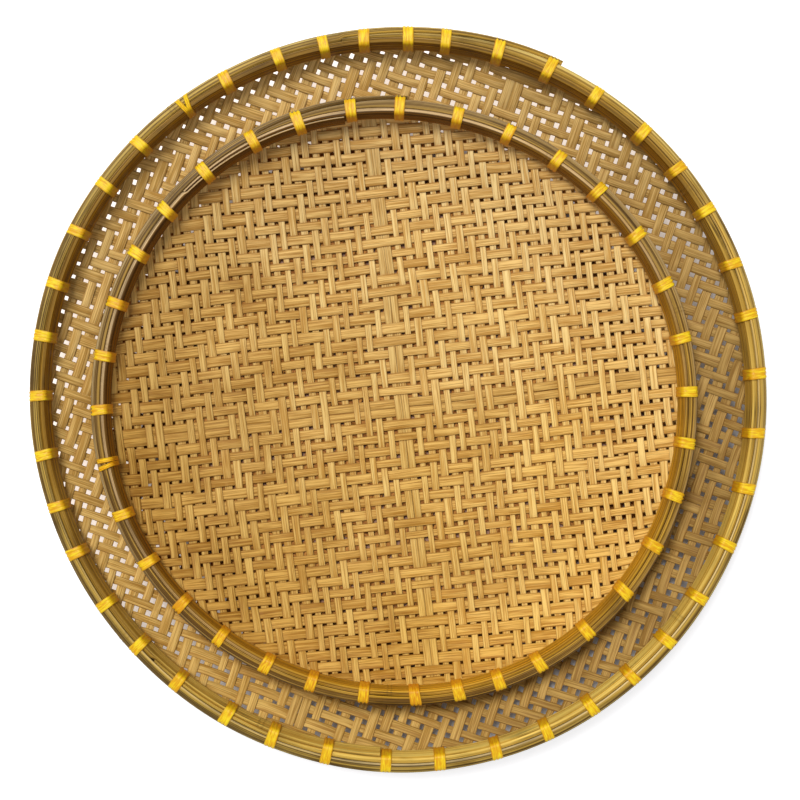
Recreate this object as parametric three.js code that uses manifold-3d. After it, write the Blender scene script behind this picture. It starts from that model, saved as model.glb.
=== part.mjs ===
// A nested pair of round woven bamboo trays (zaru), the small one lying in the large one.
// Millimetres, +Z up. The origin is the centre of the large tray's flat underside.
import * as THREE from 'three';
import { mergeVertices } from 'three/addons/utils/BufferGeometryUtils.js';
import Module from 'manifold-3d';

// Driving dimensions that both trays share
const AIR_GAP = 0.3;
const FACETS_ROUND = 60;
const WALL_STEPS = 6;
const FOOT_STEPS = 2;
const LASHINGS_PER_STRIP = 2;
const LASHING_WIDTH = 7.3;
const LASHING_THICKNESS = 1.0;
const LASHING_AIR_GAP = 0.6;
const RUN_THICKNESS = 0.7;
const RUN_HEIGHT = 1.2;
const RIM_SPACING = 44;
const SMALL_OFFSET_X = -2.9;
const SMALL_OFFSET_Y = -2.2;

// Driving dimensions of the large tray; angles are in degrees, counterclockwise from +X seen from above
const LARGE = {
  name: 'large',
  rimRadius: 250,
  wallRun: 90,
  rimLeanDegrees: 12,
  wallSlopeDegrees: 30,
  footBendRadius: 12,
  matThickness: 2.0,
  matRimThickness: 1.2,
  matEdgeDrop: 2.0,
  waves: [
    { count: 2, size: 1.5, towardDegrees: 106 },
    { count: 3, size: 1.0, towardDegrees: 36 },
  ],
  outerHoop: {
    thickness: 6.2, height: 15, side: 1, endDegrees: 64, lapDegrees: 35, lapEnd: 2.4, lapTip: 0.8,
  },
  innerHoop: {
    thickness: 3.2, height: 14, side: -1, endDegrees: 267, lapDegrees: -40, lapEnd: 2.0, lapTip: 0.8,
  },
  lashingDegrees: [
    4, 13.5, 22, 31.5, 39.5, 47.5, 57, 65.5, 74, 82.5, 88.5, 95.5, 102, 109.5, 118.5, 126, 135.5,
    144, 152.5, 161.5, 170, 179.5, 189, 197.5, 205.5, 215, 223.5, 232, 241.5, 249.5, 258.5, 268,
    276.5, 285.5, 294, 302, 310, 318, 326.5, 336, 345.5, 354.5,
  ],
  matColor: 0xc9a35a,
  outerHoopColor: 0x8f7638,
  innerHoopColor: 0xa3843c,
};

// Driving dimensions of the small tray, in the same terms; its rim keeps its distance from the large one's
const SMALL = {
  name: 'small',
  rimRadius: LARGE.rimRadius - RIM_SPACING,
  wallRun: 75,
  rimLeanDegrees: 12,
  wallSlopeDegrees: 30,
  footBendRadius: 10,
  matThickness: 1.8,
  matRimThickness: 1.2,
  matEdgeDrop: 2.0,
  waves: [
    { count: 2, size: 1.7, towardDegrees: 135 },
    { count: 4, size: 1.0, towardDegrees: 32 },
  ],
  outerHoop: {
    thickness: 6.0, height: 13.5, side: 1, endDegrees: 87.5, lapDegrees: 30, lapEnd: 2.0, lapTip: 0.8,
  },
  innerHoop: {
    thickness: 3.0, height: 12.5, side: -1, endDegrees: 100, lapDegrees: 35, lapEnd: 1.6, lapTip: 0.8,
  },
  lashingDegrees: [
    2, 12.5, 23.5, 34.5, 46, 56, 67, 77.5, 89, 98.5, 109, 118.5, 129.5, 140, 150, 160.5, 171,
    181.5, 192, 202.5, 213, 223.5, 233.5, 244, 253.5, 264, 274, 282.5, 290.5, 299, 310, 320.5,
    331, 341.5, 352,
  ],
  matColor: 0xd4aa58,
  outerHoopColor: 0x7d6636,
  innerHoopColor: 0xa98a42,
};

const LASHING_COLOR = 0xf2c21a;
const BAMBOO_ROUGHNESS = 0.55;
const MAT_ROUGHNESS = 0.7;

// Corner shares of a hoop's section: how far its far face is rounded over, across and up the lath
const HOOP_ROUND_ACROSS_SHARE = 0.3;
const HOOP_ROUND_UP_SHARE = 0.22;

const FULL_TURN_DEGREES = 360;
const FACET_DEGREES = FULL_TURN_DEGREES / FACETS_ROUND;
const wasm = await Module();
wasm.setup();

const radians = THREE.MathUtils.degToRad;
const lerp = THREE.MathUtils.lerp;

// The flat floor ends where the wall's run to the rim starts
function floorRadius(tray) {
  return tray.rimRadius - tray.wallRun;
}

// Where the rim starts: the mat's middle line meets the straight, leaning stretch between the hoops here
function rimRoot(tray) {
  const lean = radians(tray.rimLeanDegrees);
  const slope = radians(tray.wallSlopeDegrees);
  const upright = Math.PI / 2 - lean;
  const hoop = tray.outerHoop;
  const reach = tray.matRimThickness / 2 + AIR_GAP + hoop.thickness;
  const widestHeight = (1 - HOOP_ROUND_UP_SHARE) * hoop.height;
  const radius = tray.rimRadius - reach * Math.cos(lean) - widestHeight * Math.sin(lean);
  const bendStart = radius - tray.footBendRadius * (Math.sin(upright) - Math.sin(slope));
  const wallRadius = (bendStart - floorRadius(tray)) / Math.sin(slope);
  const wallRise = wallRadius * (1 - Math.cos(slope));
  const bendRise = tray.footBendRadius * (Math.cos(slope) - Math.cos(upright));
  return { radius, height: tray.matThickness / 2 + wallRise + bendRise, lean, slope, upright, wallRadius };
}

// A hand-bent rim is not quite round: the radius gained at an angle, in radians.
// Each wave has so many bulges round the rim, one of them toward the angle that it names.
function outOfRound(tray, angle) {
  const gains = tray.waves.map(({ count, size, towardDegrees }) => (
    size * Math.cos(count * (angle - radians(towardDegrees)))
  ));
  return gains.reduce((sum, gain) => sum + gain, 0);
}

// A point of the rim: out is square to the hoops' faces, up runs along them
function rimPoint(tray, root, degrees, out, up) {
  const angle = radians(degrees);
  const radius = root.radius + out * Math.cos(root.lean) + up * Math.sin(root.lean) + outOfRound(tray, angle);
  const height = root.height - out * Math.sin(root.lean) + up * Math.cos(root.lean);
  return new THREE.Vector3(radius * Math.cos(angle), radius * Math.sin(angle), height);
}

// The mat's middle line from the axis to its top edge, with the direction square to it and the half thickness
function matLine(tray, root) {
  const half = tray.matThickness / 2;
  const rimHalf = tray.matRimThickness / 2;
  const line = [
    { radius: 0, height: half, tilt: 0, half },
    { radius: floorRadius(tray), height: half, tilt: 0, half },
  ];
  for (let step = 1; step <= WALL_STEPS; step += 1) {
    const tilt = root.slope * step / WALL_STEPS;
    line.push({
      radius: floorRadius(tray) + root.wallRadius * Math.sin(tilt),
      height: half + root.wallRadius * (1 - Math.cos(tilt)),
      tilt,
      half,
    });
  }
  const foot = line[line.length - 1];
  for (let step = 1; step <= FOOT_STEPS; step += 1) {
    const tilt = lerp(root.slope, root.upright, step / FOOT_STEPS);
    line.push({
      radius: foot.radius + tray.footBendRadius * (Math.sin(tilt) - Math.sin(root.slope)),
      height: foot.height + tray.footBendRadius * (Math.cos(root.slope) - Math.cos(tilt)),
      tilt,
      half: lerp(half, rimHalf, step / FOOT_STEPS),
    });
  }
  const edge = tray.innerHoop.height - tray.matEdgeDrop;
  line.push({
    radius: root.radius + edge * Math.sin(root.lean),
    height: root.height + edge * Math.cos(root.lean),
    tilt: root.upright,
    half: rimHalf,
  });
  return line;
}

// The mat: a thin dish with a flat floor, turned as one closed solid and drawn to the rim's real outline
function matGeometry(tray, root) {
  const line = matLine(tray, root);
  const side = (point, sign) => new THREE.Vector2(
    Math.max(0, point.radius + sign * point.half * Math.sin(point.tilt)),
    point.height - sign * point.half * Math.cos(point.tilt),
  );
  const outside = line.map((point) => side(point, 1));
  const inside = line.map((point) => side(point, -1)).reverse();
  const geometry = new THREE.LatheGeometry([...outside, ...inside], FACETS_ROUND);
  geometry.rotateX(Math.PI / 2);
  const position = geometry.getAttribute('position');
  for (let index = 0; index < position.count; index += 1) {
    const x = position.getX(index);
    const y = position.getY(index);
    const radius = Math.hypot(x, y);
    if (radius > floorRadius(tray)) {
      const share = Math.min(1, (radius - floorRadius(tray)) / (root.radius - floorRadius(tray)));
      const grown = 1 + share * outOfRound(tray, Math.atan2(y, x)) / radius;
      position.setXY(index, x * grown, y * grown);
    }
  }
  return geometry;
}

// A closed mesh with merged corners as a solid for cutting
function toSolid(geometry) {
  const bare = geometry.clone();
  bare.deleteAttribute('normal');
  bare.deleteAttribute('uv');
  const merged = mergeVertices(bare);
  const corners = merged.getIndex().array;
  const kept = [];
  for (let at = 0; at < corners.length; at += 3) {
    const [a, b, c] = [corners[at], corners[at + 1], corners[at + 2]];
    if (a !== b && b !== c && c !== a) kept.push(a, b, c);
  }
  return new wasm.Manifold(new wasm.Mesh({
    numProp: 3,
    vertProperties: new Float32Array(merged.getAttribute('position').array),
    triVerts: new Uint32Array(kept),
  }));
}

// A solid back as a mesh that can be drawn
function toGeometry(solid) {
  const mesh = solid.getMesh();
  const geometry = new THREE.BufferGeometry();
  geometry.setAttribute('position', new THREE.BufferAttribute(mesh.vertProperties, 3));
  geometry.setIndex(new THREE.BufferAttribute(mesh.triVerts, 1));
  geometry.computeVertexNormals();
  return geometry;
}

// The near and far face of a hoop, as distances from the mat's middle line, at a distance along the lath.
// The lath laps over itself: its visible end lies on the far side and its hidden end tapers off underneath.
function hoopFaces(tray, hoop, alongDegrees) {
  const seat = tray.matRimThickness / 2 + AIR_GAP;
  const lap = Math.abs(hoop.lapDegrees);
  let near = seat;
  let far = seat + hoop.thickness;
  if (alongDegrees <= lap) {
    const share = alongDegrees / lap;
    near = seat + lerp(hoop.thickness, hoop.lapTip, share) + AIR_GAP;
    far = seat + hoop.thickness + (1 - share) * (AIR_GAP + hoop.lapEnd);
  } else if (alongDegrees >= FULL_TURN_DEGREES) {
    const share = (alongDegrees - FULL_TURN_DEGREES) / lap;
    far = seat + lerp(hoop.thickness, hoop.lapTip, share);
  }
  return [near * hoop.side, far * hoop.side];
}

// The hoop's section: a lath with its far face rounded over, as corners [out, up]
function hoopSection(hoop, near, far) {
  const across = (far - near) * HOOP_ROUND_ACROSS_SHARE;
  const up = hoop.height * HOOP_ROUND_UP_SHARE;
  return [
    [near, 0], [far - across, 0], [far, up], [far, hoop.height - up],
    [far - across, hoop.height], [near, hoop.height],
  ];
}

// The angles of a hoop's rings: its two ends, and each facet corner of the round between them
function hoopRings(hoop) {
  const turn = Math.sign(hoop.lapDegrees);
  const length = FULL_TURN_DEGREES + Math.abs(hoop.lapDegrees);
  const first = turn > 0
    ? FACET_DEGREES - (hoop.endDegrees % FACET_DEGREES)
    : hoop.endDegrees % FACET_DEGREES;
  const along = [0];
  for (let at = first || FACET_DEGREES; at < length; at += FACET_DEGREES) along.push(at);
  along.push(length);
  return along;
}

// Joins rings of corners into one closed solid with capped ends; flip turns its faces over
function sweptGeometry(rings, flip) {
  const corners = rings[0].length;
  const points = rings.flat().flatMap((point) => point.toArray());
  const faces = [];
  const addFace = (a, b, c) => faces.push(...(flip ? [a, c, b] : [a, b, c]));
  for (let ring = 0; ring + 1 < rings.length; ring += 1) {
    for (let corner = 0; corner < corners; corner += 1) {
      const a = ring * corners + corner;
      const b = ring * corners + (corner + 1) % corners;
      addFace(a, b, b + corners);
      addFace(a, b + corners, a + corners);
    }
  }
  const last = (rings.length - 1) * corners;
  for (let corner = 1; corner + 1 < corners; corner += 1) {
    addFace(0, corner + 1, corner);
    addFace(last, last + corner, last + corner + 1);
  }
  const geometry = new THREE.BufferGeometry();
  geometry.setAttribute('position', new THREE.Float32BufferAttribute(points, 3));
  geometry.setIndex(faces);
  geometry.computeVertexNormals();
  return geometry;
}

// A hoop: one lath bent round the mat's edge, with its two ends lapped
function hoopGeometry(tray, root, hoop) {
  const turn = Math.sign(hoop.lapDegrees);
  const rings = hoopRings(hoop).map((along) => {
    const [near, far] = hoopFaces(tray, hoop, along);
    const degrees = hoop.endDegrees + turn * along;
    return hoopSection(hoop, near, far).map(([out, up]) => rimPoint(tray, root, degrees, out, up));
  });
  return sweptGeometry(rings, turn * hoop.side > 0);
}

// How far a hoop reaches out from the mat under a lashing, its lap included, and how deep it is rounded there
function hoopUnderLashing(tray, root, hoop, degrees) {
  const halfWidth = THREE.MathUtils.radToDeg(LASHING_WIDTH / 2 / root.radius);
  const turn = Math.sign(hoop.lapDegrees);
  const faces = [-halfWidth, 0, halfWidth].map((shift) => {
    const along = THREE.MathUtils.euclideanModulo(turn * (degrees + shift - hoop.endDegrees), FULL_TURN_DEGREES);
    return hoopFaces(tray, hoop, along).map(Math.abs);
  });
  return {
    reach: Math.max(...faces.map(([, far]) => far)),
    round: HOOP_ROUND_ACROSS_SHARE * Math.min(...faces.map(([near, far]) => far - near)),
  };
}

// The outline round both hoops under a lashing, grown by a margin, as corners [out, up]
function rimOutline(tray, root, degrees, margin) {
  const { outerHoop, innerHoop } = tray;
  const outer = hoopUnderLashing(tray, root, outerHoop, degrees);
  const inner = hoopUnderLashing(tray, root, innerHoop, degrees);
  const outerFace = outer.reach + margin;
  const innerFace = -inner.reach - margin;
  return [
    [innerFace, -margin],
    [outerFace - outer.round, -margin],
    [outerFace, outerHoop.height * HOOP_ROUND_UP_SHARE],
    [outerFace, outerHoop.height * (1 - HOOP_ROUND_UP_SHARE)],
    [outerFace - outer.round, outerHoop.height + margin],
    [innerFace + inner.round, outerHoop.height + margin],
    [innerFace, innerHoop.height * (1 - HOOP_ROUND_UP_SHARE)],
  ].map(([out, up]) => new THREE.Vector2(out, up));
}

// Places a shape drawn in the rim's own directions at an angle round the rim
function placeOnRim(tray, root, degrees, geometry) {
  const angle = radians(degrees);
  const { lean } = root;
  const out = new THREE.Vector3(
    Math.cos(lean) * Math.cos(angle), Math.cos(lean) * Math.sin(angle), -Math.sin(lean),
  );
  const up = new THREE.Vector3(
    Math.sin(lean) * Math.cos(angle), Math.sin(lean) * Math.sin(angle), Math.cos(lean),
  );
  const along = new THREE.Vector3().crossVectors(out, up);
  const place = new THREE.Matrix4().makeBasis(out, up, along);
  place.setPosition(rimPoint(tray, root, degrees, 0, 0));
  return geometry.applyMatrix4(place);
}

// A lashing: a flat strip wound round both hoops, under them through the mat and back
function lashingGeometry(tray, root, degrees) {
  const shape = new THREE.Shape(rimOutline(tray, root, degrees, LASHING_AIR_GAP + LASHING_THICKNESS));
  shape.holes.push(new THREE.Path(rimOutline(tray, root, degrees, LASHING_AIR_GAP)));
  const band = new THREE.ExtrudeGeometry(shape, { depth: LASHING_WIDTH, bevelEnabled: false });
  band.translate(0, 0, -LASHING_WIDTH / 2);
  return placeOnRim(tray, root, degrees, band);
}

// The gap in the mat that a lashing passes through, just below the hoops
function slotGeometry(tray, root, degrees) {
  const through = tray.matThickness + 2 * tray.outerHoop.thickness;
  const high = LASHING_THICKNESS + 2 * AIR_GAP;
  const slot = new THREE.BoxGeometry(through, high, LASHING_WIDTH + 2 * AIR_GAP);
  slot.translate(0, -LASHING_AIR_GAP - LASHING_THICKNESS / 2, 0);
  return placeOnRim(tray, root, degrees, slot);
}

function makeMesh(name, geometry, color, roughness) {
  const mesh = new THREE.Mesh(geometry, new THREE.MeshStandardMaterial({ color, roughness, metalness: 0 }));
  mesh.name = name;
  return mesh;
}

// The mat with a gap cut for each lashing
function buildMat(tray, root) {
  let mat = toSolid(matGeometry(tray, root));
  for (const degrees of tray.lashingDegrees) {
    mat = mat.subtract(toSolid(slotGeometry(tray, root, degrees)));
  }
  return makeMesh(`${tray.name}_mat`, toGeometry(mat), tray.matColor, MAT_ROUGHNESS);
}

function buildHoops(tray, root) {
  return [
    ['outer_hoop', tray.outerHoop, tray.outerHoopColor],
    ['inner_hoop', tray.innerHoop, tray.innerHoopColor],
  ].map(([name, hoop, color]) => (
    makeMesh(`${tray.name}_${name}`, hoopGeometry(tray, root, hoop), color, BAMBOO_ROUGHNESS)
  ));
}

// The stretch of strip between two neighbouring lashings, hidden between the hoops above the mat's edge.
// At each end it rises into the lashing that it belongs to.
function runGeometry(tray, root, fromDegrees, toDegrees) {
  const halfWidth = THREE.MathUtils.radToDeg(LASHING_WIDTH / 2 / root.radius);
  const low = tray.innerHoop.height - tray.matEdgeDrop + AIR_GAP;
  const high = tray.outerHoop.height + LASHING_AIR_GAP + LASHING_THICKNESS / 2;
  const [start, end] = [fromDegrees + halfWidth, toDegrees - halfWidth];
  const half = RUN_THICKNESS / 2;
  const ring = (degrees, top) => [[-half, low], [half, low], [half, top], [-half, top]]
    .map(([out, up]) => rimPoint(tray, root, degrees, out, up));
  const rings = [ring(fromDegrees, high), ring(start, low + RUN_HEIGHT)];
  const firstFacet = (Math.floor(start / FACET_DEGREES) + 1) * FACET_DEGREES;
  for (let at = firstFacet; at < end; at += FACET_DEGREES) rings.push(ring(at, low + RUN_HEIGHT));
  rings.push(ring(end, low + RUN_HEIGHT), ring(toDegrees, high));
  return sweptGeometry(rings, true);
}

// A strip that makes neighbouring lashings, with the hidden run from each one to the next
function buildStrip(tray, root, name, lashings) {
  let strip = toSolid(lashingGeometry(tray, root, lashings[0]));
  for (let next = 1; next < lashings.length; next += 1) {
    strip = strip.add(toSolid(lashingGeometry(tray, root, lashings[next])));
    strip = strip.add(toSolid(runGeometry(tray, root, lashings[next - 1], lashings[next])));
  }
  return makeMesh(name, toGeometry(strip), LASHING_COLOR, BAMBOO_ROUGHNESS);
}

function buildLashings(tray, root) {
  const strips = [];
  for (let first = 0; first < tray.lashingDegrees.length; first += LASHINGS_PER_STRIP) {
    const number = String(strips.length + 1).padStart(2, '0');
    const lashings = tray.lashingDegrees.slice(first, first + LASHINGS_PER_STRIP);
    strips.push(buildStrip(tray, root, `${tray.name}_lashing_strip_${number}`, lashings));
  }
  return strips;
}

function buildTray(tray) {
  const root = rimRoot(tray);
  const group = new THREE.Group();
  group.add(buildMat(tray, root), ...buildHoops(tray, root), ...buildLashings(tray, root));
  return group;
}

const pair = new THREE.Group();
const smallTray = buildTray(SMALL);
smallTray.position.set(SMALL_OFFSET_X, SMALL_OFFSET_Y, LARGE.matThickness + AIR_GAP);
pair.add(buildTray(LARGE), smallTray);

export default pair;
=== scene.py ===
# A nested pair of round bamboo trays: split-bamboo mats, hooped rims and yellow lashings.
# Metres, +Z up. The origin is the centre of the large tray's flat underside.
import math
import random

import bpy
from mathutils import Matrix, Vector


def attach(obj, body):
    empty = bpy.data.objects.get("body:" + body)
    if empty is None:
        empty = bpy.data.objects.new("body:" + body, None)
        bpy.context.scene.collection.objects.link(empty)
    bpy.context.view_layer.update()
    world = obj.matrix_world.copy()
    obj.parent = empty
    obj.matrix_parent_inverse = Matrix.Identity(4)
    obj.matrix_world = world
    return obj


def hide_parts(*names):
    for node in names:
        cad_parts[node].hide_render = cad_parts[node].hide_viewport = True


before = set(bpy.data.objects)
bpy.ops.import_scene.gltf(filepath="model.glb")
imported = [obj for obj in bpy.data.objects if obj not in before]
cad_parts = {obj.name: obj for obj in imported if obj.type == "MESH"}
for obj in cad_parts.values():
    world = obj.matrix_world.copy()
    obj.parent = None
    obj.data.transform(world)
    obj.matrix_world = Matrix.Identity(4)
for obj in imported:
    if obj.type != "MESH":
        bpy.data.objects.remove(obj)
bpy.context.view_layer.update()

# The two trays, in the CAD model's sizes. Angles go counterclockwise from +X, seen from above.
LARGE = {
    "name": "large",
    "body": "large_tray",
    "centre": (0.0, 0.0, 0.0),
    "rim_radius": 0.250,
    "wall_run": 0.090,
    "foot_bend": 0.012,
    "mat_thickness": 0.0020,
    "waves": {"Oval": (0.0015, math.radians(106)), "Trefoil": (0.0010, math.radians(36))},
    "outer_hoop": {
        "thickness": 0.0062, "height": 0.0150, "side": 1, "end": 64, "lap": 35,
        "lap_end": 0.0030, "knots": (40, 128, 221, 318),
    },
    "inner_hoop": {
        "thickness": 0.0032, "height": 0.0140, "side": -1, "end": 267, "lap": -40,
        "lap_end": 0.0020, "knots": (36, 151, 247, 322),
    },
}
SMALL = {
    "name": "small",
    "body": "small_tray",
    "centre": (-0.0029, -0.0022, 0.0023),
    "rim_radius": 0.206,
    "wall_run": 0.075,
    "foot_bend": 0.010,
    "mat_thickness": 0.0018,
    "waves": {"Oval": (0.0017, math.radians(135)), "Square": (0.0010, math.radians(32))},
    "outer_hoop": {
        "thickness": 0.0060, "height": 0.0135, "side": 1, "end": 87.5, "lap": 30,
        "lap_end": 0.0020, "knots": (18, 137, 232),
    },
    "inner_hoop": {
        "thickness": 0.0030, "height": 0.0125, "side": -1, "end": 100, "lap": 35,
        "lap_end": 0.0016, "knots": (58, 169, 269),
    },
}
RIM_LEAN = math.radians(12)
WALL_SLOPE = math.radians(30)
RIM_MAT_THICKNESS = 0.0012
MAT_EDGE_DROP = 0.0020
LAP_TIP = 0.0008
AIR_GAP = 0.0003
HOOP_SEAT = RIM_MAT_THICKNESS / 2 + AIR_GAP
HOOP_ROUND_UP_SHARE = 0.22
WAVE_COUNTS = {"Oval": 2, "Trefoil": 3, "Square": 4}
WAVE_INPUTS = [label for wave in WAVE_COUNTS for label in (wave, f"{wave} Toward")]

# How each mat is woven: its turn, where its middle lies, and the splints of each way.
# Two splints lie side by side at the middle, each as far from it as Pair says; the others follow at the
# pitch. The names are those of the tree's inputs.
LARGE_WEAVE = {
    "turn": math.radians(-19),
    "middle": (0.004, -0.003),
    "both": {
        "Thickness": 0.00095, "Sway Seed": 4.0,
        "Broad Out": 0.0, "Broad Side": -0.05, "Broad Toward": math.radians(-60),
    },
    "warps": {"Pitch": 0.0095, "Pair": 0.0033, "Width": 0.0064, "Pair Width": 0.0066, "Seed": 11.0},
    "wefts": {"Pitch": 0.0095, "Pair": 0.0033, "Width": 0.0065, "Pair Width": 0.0066, "Seed": 23.0},
}
SMALL_WEAVE = {
    "turn": math.radians(6.6),
    "middle": (0.0053, -0.0035),
    "both": {
        "Thickness": 0.00085, "Sway Seed": 9.0,
        "Broad Out": 0.06, "Broad Side": 0.06, "Broad Toward": math.radians(170),
    },
    "warps": {"Pitch": 0.00728, "Pair": 0.0025, "Width": 0.0048, "Pair Width": 0.0050, "Seed": 37.0},
    "wefts": {"Pitch": 0.00864, "Pair": 0.0030, "Width": 0.0065, "Pair Width": 0.0060, "Seed": 53.0},
}

# How the splints are laid, and how far they stray from the rule
STEPS_PER_CROSSING = 4
TWILL_REPEAT = 4.0
SPLINT_CORNER = 0.00018
CROSSING_CLEARANCE = 0.00004
MAT_EDGE_SPARE = 0.0002
WANDER = 0.00030
SWAY = 0.0016
WIDTH_LEAST = 0.81
WIDTH_SPREAD = 0.34
WIDTH_DRIFT = 0.20

# Painted shade on the large mat where the small tray covers it, its middle shifted toward the lower left
UNDER_TRAY_SHADE_SHIFT = 0.009
UNDER_TRAY_SHADE_EDGE = (0.205, 0.192)

# The lashings: their band, how they are wound, and those whose turns lie apart
LASHING_WIDTH = 0.0073
LASHING_THICKNESS = 0.0009
LASHING_AIR_GAP = 0.00025
LASHING_TURNS = 3
BAND_VALUES = ("angle", "reach_out", "reach_in", "tilt", "broad", "slide")
LASHING_ROUNDING = 0.0022
LASHING_TILT = 0.10
PARTED_BROAD = 0.44
PARTED_SLIDE = 0.29
PARTED_WITHIN_DEGREES = 2.5
LEAST_GAP_DEGREES = 3

# The laths: how they are rounded and bulge, how they swell at a knot and how far they waver
HOOP_STATIONS = 480
HOOPS_APART = 0.00006
HOOP_ROUND_ACROSS_SHARE = 0.32
LATH_CORNER = 0.0004
LATH_BULGE_SHARE = 0.02
KNOT_SWELL = 0.00030
KNOT_RIDGE_DEGREES = 0.38
KNOT_WIDTH_DEGREES = 0.14
KNOT_STOPS_DEGREES = (-0.75, -0.5, -0.38, -0.26, 0.0, 0.26, 0.38, 0.5, 0.75)
LATH_WAVER_OUT = 0.00018
LATH_WAVER_UP = 0.00025
SHARP_ANGLE = math.radians(50)

# Light, floor and camera, with angles in degrees
WINDOW_AZIMUTH = 120
# The side that the floor's painted light under the rim comes from
PAINTED_LIGHT_AZIMUTH = 128
WINDOW_ELEVATION = 66
WINDOW_LIGHT = 2.42
WINDOW_COLOUR = (1.0, 0.985, 0.955)
WINDOW_WIDTH = math.radians(20)
ROOM_LIGHT = 0.30
OPEN_FLOOR_GLOW = 0.72
# Strength of the floor's painted light under the rim
PAINTED_UNDER_RIM_LIGHT = 0.82
FLOOR_HALF = 3.0
FLOOR_DROP = 0.0002
CAMERA_PLACE = (0.0009, -0.0008, 1.2437)
CAMERA_LENS = 80.2


def lerp(start, end, share):
    return start + (end - start) * share


def colour(red, green, blue):
    """A colour judged in 0 to 255, as the linear values that a shader takes."""
    def linear(value):
        share = value / 255
        return share / 12.92 if share <= 0.04045 else ((share + 0.055) / 1.055) ** 2.4
    return (linear(red), linear(green), linear(blue), 1.0)


def colours(*shades):
    """Several colours at once."""
    return tuple(colour(*shade) for shade in shades)


# Node trees, written as sums

class Field:
    """A number in a node tree. Sums written with it become Math nodes."""

    def __init__(self, tree, socket):
        self.tree = tree
        self.socket = socket

    def math(self, operation, *others):
        node = self.tree.nodes.new("ShaderNodeMath")
        node.operation = operation
        for socket, value in zip(node.inputs, (self, *others)):
            feed(self.tree, socket, value)
        return Field(self.tree, node.outputs[0])

    def __add__(self, other):
        return self.math("ADD", other)

    def __sub__(self, other):
        return self.math("SUBTRACT", other)

    def __mul__(self, other):
        return self.math("MULTIPLY", other)

    def __truediv__(self, other):
        return self.math("DIVIDE", other)

    def __neg__(self):
        return self.math("MULTIPLY", -1.0)

    def __abs__(self):
        return self.math("ABSOLUTE")

    def at_least(self, other):
        return self.math("MAXIMUM", other)

    def at_most(self, other):
        return self.math("MINIMUM", other)

    def eased(self, low, high):
        """0 up to low, 1 from high on, and smooth between them."""
        node = add_node(
            self.tree, "ShaderNodeMapRange", {"Value": self, "From Min": low, "From Max": high},
            interpolation_type="SMOOTHSTEP",
        )
        return Field(self.tree, node.outputs["Result"])


def feed(tree, socket, value):
    """Gives a node's input a field, another node's output or a plain value."""
    if isinstance(value, Field):
        value = value.socket
    if isinstance(value, bpy.types.NodeSocket):
        tree.links.new(value, socket)
    else:
        socket.default_value = value


def add_node(tree, kind, inputs=None, **settings):
    """Adds one node, sets it and feeds its inputs, by name or by number."""
    node = tree.nodes.new(kind)
    for name, value in settings.items():
        setattr(node, name, value)
    for name, value in (inputs or {}).items():
        feed(tree, node.inputs[name], value)
    return node


def add_number(tree, kind, inputs=None, output=0, **settings):
    """Adds one node and takes one of its outputs as a number."""
    return Field(tree, add_node(tree, kind, inputs, **settings).outputs[output])


def add_shape(tree, kind, inputs=None, **settings):
    """Adds one geometry node and takes its geometry."""
    return add_node(tree, kind, inputs, **settings).outputs[0]


def split_point(tree, point):
    """The three numbers of a point."""
    node = add_node(tree, "ShaderNodeSeparateXYZ", {0: point})
    return [Field(tree, output) for output in node.outputs]


def join_point(tree, x, y, z):
    return add_node(tree, "ShaderNodeCombineXYZ", {0: x, 1: y, 2: z}).outputs[0]


def noise_at(tree, x, y, z, detail=1.0):
    """Smooth noise from 0 to 1 at a point."""
    point = join_point(tree, x, y, z)
    return add_number(tree, "ShaderNodeTexNoise", {"Vector": point, "Scale": 1.0, "Detail": detail})


def mixed(start, end, share):
    """From start to end by a share that is a field."""
    return (end - start) * share + start


def make_tree(kind, name, inputs, outputs):
    """An empty node group, what takes an input by its label, and the group's end. Its inputs and outputs are
    given as the labels of each kind of socket."""
    tree = bpy.data.node_groups.new(name, kind)
    for in_out, sockets in (("INPUT", inputs), ("OUTPUT", outputs)):
        for socket, labels in sockets.items():
            for label in labels:
                tree.interface.new_socket(label, in_out=in_out, socket_type=f"NodeSocket{socket}")
    start, end = tree.nodes.new("NodeGroupInput"), tree.nodes.new("NodeGroupOutput")

    def given(label):
        return Field(tree, start.outputs[label])

    return tree, given, end


def end_shape(tree, geometry, given, end):
    """Makes the geometry real, gives it the material and hands it out."""
    geometry = add_shape(tree, "GeometryNodeRealizeInstances", {0: geometry})
    geometry = add_shape(tree, "GeometryNodeSetMaterial", {
        "Geometry": geometry, "Material": given("Material"),
    })
    tree.links.new(geometry, end.inputs["Geometry"])
    return tree


def shape_of(tree, thing):
    """The geometry of an object that a tree is given."""
    info = add_node(tree, "GeometryNodeObjectInfo", {"Object": thing, "As Instance": False})
    return info.outputs["Geometry"]


def place_at(tree, geometry, x, y, z, offset=(0.0, 0.0, 0.0)):
    return add_shape(tree, "GeometryNodeSetPosition", {
        "Geometry": geometry, "Position": join_point(tree, x, y, z), "Offset": offset,
    })


def store(tree, geometry, **values):
    """Gives each point of the geometry numbers, by name."""
    for name, value in values.items():
        geometry = add_shape(tree, "GeometryNodeStoreNamedAttribute", {
            "Geometry": geometry, "Name": name, "Value": value,
        })
    return geometry


def stored(tree, *names):
    """The numbers that points were given, by name."""
    kind = "GeometryNodeInputNamedAttribute"
    return [add_number(tree, kind, {"Name": name}, "Attribute") for name in names]


def store_map(tree, geometry, along, across):
    """The map that the bamboo finishes follow: metres along a strip, and across it."""
    node = add_node(
        tree, "GeometryNodeStoreNamedAttribute", {"Geometry": geometry, "Name": "strip"},
        data_type="FLOAT2", domain="CORNER",
    )
    feed(tree, node.inputs["Value"], join_point(tree, along, across, 0.0))
    return node.outputs[0]


def here(tree):
    return split_point(tree, add_node(tree, "GeometryNodeInputPosition").outputs[0])


def add_object(name, data):
    made = bpy.data.objects.new(name, data)
    bpy.context.scene.collection.objects.link(made)
    return made


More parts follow.
